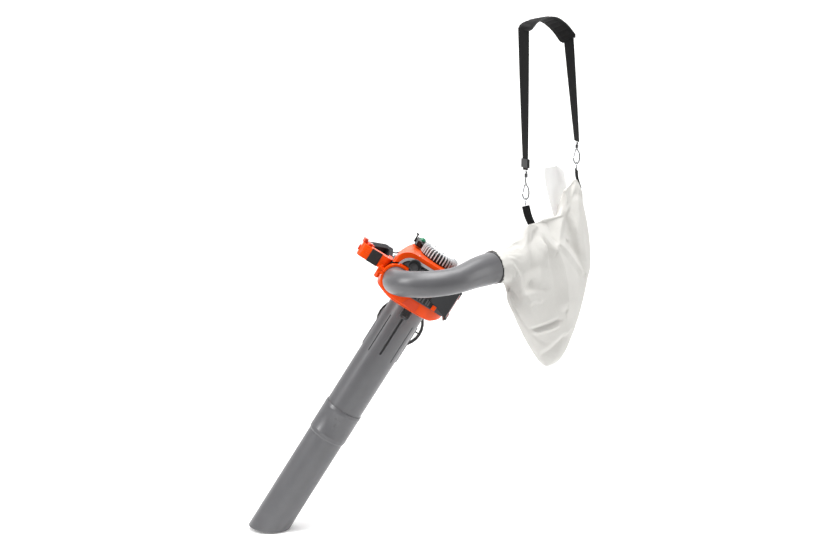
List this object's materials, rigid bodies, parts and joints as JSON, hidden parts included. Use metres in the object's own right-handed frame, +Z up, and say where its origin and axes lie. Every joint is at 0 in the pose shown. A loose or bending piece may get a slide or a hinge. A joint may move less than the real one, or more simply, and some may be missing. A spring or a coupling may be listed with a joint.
{
  "type": "leaf blower vacuum",
  "caption": "Handheld petrol leaf blower set up as a vacuum, with a long suction tube, bent elbow tube, cloth collection bag and padded shoulder strap.",
  "frame": {"origin": "middle of the hand grip", "axes": "+Z up, +X from the machine towards the bag, +Y away from the blower outlet's side; the machine leans over as it is held in use"},
  "size_m": [1.0801, 0.4621, 1.5871],
  "materials": {
    "grey_plastic": "satin grey moulded plastic",
    "orange_plastic": "semi-gloss orange moulded plastic",
    "dark_plastic": "matt dark grey moulded plastic",
    "black_plastic": "matt black moulded plastic",
    "black_rubber": "matt black rubber",
    "filter_foam": "black open foam",
    "green_rubber": "translucent green rubber",
    "red_plastic": "red moulded plastic",
    "steel": "bare steel",
    "aluminium": "cast aluminium",
    "chrome": "bright plated wire",
    "tank_plastic": "natural white plastic",
    "bag_cloth": "off-white non-woven cloth",
    "webbing": "black woven webbing"
  },
  "bodies": {
    "machine": {"lower_suction_tube": "grey_plastic", "upper_suction_tube": "grey_plastic", "inlet_housing": "orange_plastic", "fan_housing": "dark_plastic", "outlet_clamp_upper": "orange_plastic", "outlet_clamp_lower": "orange_plastic", "elbow_tube": "grey_plastic", "crankcase": "aluminium", "bearing_fan_side": "steel", "bearing_starter_side": "steel", "cylinder": "aluminium", "spark_plug": "chrome", "spark_plug_boot": "black_rubber", "muffler": "steel", "carburettor": "aluminium", "fuel_tank": "tank_plastic", "ignition_coil": "black_plastic", "starter_housing": "dark_plastic", "air_filter_cover": "black_plastic", "air_filter": "filter_foam", "engine_shroud": "orange_plastic", "front_panel": "grey_plastic", "base_foot": "dark_plastic", "handle_lower_shell": "orange_plastic", "handle_upper_shell": "orange_plastic", "grip_band": "black_rubber", "throttle_cable": "black_rubber", "bag": "bag_cloth", "near_tab": "webbing", "far_tab": "webbing", "near_strap": "webbing", "far_strap": "webbing", "shoulder_pad": "webbing", "strap_adjuster": "black_plastic", "near_ring": "chrome", "near_hook": "chrome", "far_ring": "chrome", "far_hook": "chrome"},
    "trigger": {"throttle_trigger": "black_plastic"},
    "cruise": {"cruise_lever": "red_plastic"},
    "switch": {"stop_switch": "red_plastic"},
    "starter_pull": {"starter_grip": "black_plastic", "starter_rope": "webbing"},
    "pulley": {"starter_pulley": "black_plastic"},
    "primer": {"primer_bulb": "green_rubber"},
    "choke": {"choke_lever": "black_plastic"},
    "filler_cap": {"fuel_cap": "black_plastic"},
    "rotor": {"crank_fan_side": "steel", "crank_starter_side": "steel", "impeller": "black_plastic", "shredder_blade": "steel", "fan_nut": "steel", "flywheel": "aluminium"},
    "piston": {"piston": "aluminium"},
    "rod": {"connecting_rod": "aluminium"},
    "cover": {"inlet_cover": "dark_plastic"},
    "knob": {"clamp_knob": "orange_plastic"},
    "catch": {"tube_catch": "black_plastic"},
    "near_gate": {"near_gate": "steel"},
    "far_gate": {"far_gate": "steel"}
  },
  "joints": [
    {"name": "throttle_squeeze", "type": "hinge", "parent": "machine", "child": "trigger", "pos_m": [-0.02464, -0.079, 0.0153], "axis": [0.5275, 0, 0.8495], "range_deg": [0, 14], "stiffness_Nm_per_rad": 0.5, "springref_deg": -11.46},
    {"name": "cruise_turn", "type": "hinge", "parent": "machine", "child": "cruise", "pos_m": [-0.01069, -0.102, 0.03018], "axis": [0.5275, 0, 0.8495], "range_deg": [0, 40]},
    {"name": "stop_press", "type": "slide", "parent": "machine", "child": "switch", "axis": [0.8495, 0, -0.5275], "range_m": [0, 0.003], "stiffness_N_per_m": 400, "springref_m": -0.003},
    {"name": "starter_pull_out", "type": "slide", "parent": "machine", "child": "starter_pull", "axis": [-0.8495, 0, 0.5275], "range_m": [0, 0.1], "stiffness_N_per_m": 60, "springref_m": -0.08},
    {"name": "pulley_spin", "type": "hinge", "parent": "machine", "child": "pulley", "pos_m": [0.19896, -0.03, -0.01702], "axis": [0.5275, 0, 0.8495], "range_deg": [0, 230]},
    {"name": "primer_press", "type": "slide", "parent": "machine", "child": "primer", "axis": [-0.5275, 0, -0.8495], "range_m": [0, 0.004], "stiffness_N_per_m": 600, "springref_m": -0.003},
    {"name": "choke_turn", "type": "hinge", "parent": "machine", "child": "choke", "pos_m": [0.12825, 0.058, 0.02076], "axis": [0.8495, 0, -0.5275], "range_deg": [0, 55]},
    {"name": "cap_turn", "type": "hinge", "parent": "machine", "child": "filler_cap", "pos_m": [0.25066, -0.112, -0.06266], "axis": [0.5275, 0, 0.8495], "continuous": true},
    {"name": "rotor_spin", "type": "hinge", "parent": "machine", "child": "rotor", "pos_m": [0.16071, -0.03, -0.07861], "axis": [0.5275, 0, 0.8495], "continuous": true},
    {"name": "piston_stroke", "type": "slide", "parent": "machine", "child": "piston", "axis": [0, -1, 0], "range_m": [0, 0.028]},
    {"name": "rod_swing", "type": "hinge", "parent": "piston", "child": "rod", "pos_m": [0.17495, 0.046, -0.05568], "axis": [0.5275, 0, 0.8495], "range_deg": [-6, 6]},
    {"name": "cover_swing", "type": "hinge", "parent": "machine", "child": "cover", "pos_m": [0.12196, 0.049, -0.16755], "axis": [0.8495, 0, -0.5275], "range_deg": [0, 45]},
    {"name": "knob_turn", "type": "hinge", "parent": "machine", "child": "knob", "pos_m": [0.01443, -0.1425, -0.04663], "axis": [0.5275, 0, 0.8495], "continuous": true},
    {"name": "catch_slide", "type": "slide", "parent": "machine", "child": "catch", "axis": [-0.5275, 0, -0.8495], "range_m": [0, 0.004], "stiffness_N_per_m": 500, "springref_m": -0.003},
    {"name": "near_gate_open", "type": "hinge", "parent": "machine", "child": "near_gate", "pos_m": [0.4486, -0.111, 0.2115], "axis": [0, 1, 0], "range_deg": [-25, 0], "stiffness_Nm_per_rad": 0.02, "springref_deg": 17.19},
    {"name": "far_gate_open", "type": "hinge", "parent": "machine", "child": "far_gate", "pos_m": [0.6196, 0.088, 0.2975], "axis": [0, 1, 0], "range_deg": [-25, 0], "stiffness_Nm_per_rad": 0.02, "springref_deg": 17.19}
  ],
  "couplings": [
    {"joint": "pulley_spin", "follows": "starter_pull_out", "rad_per_m": 38.835}
  ]
}
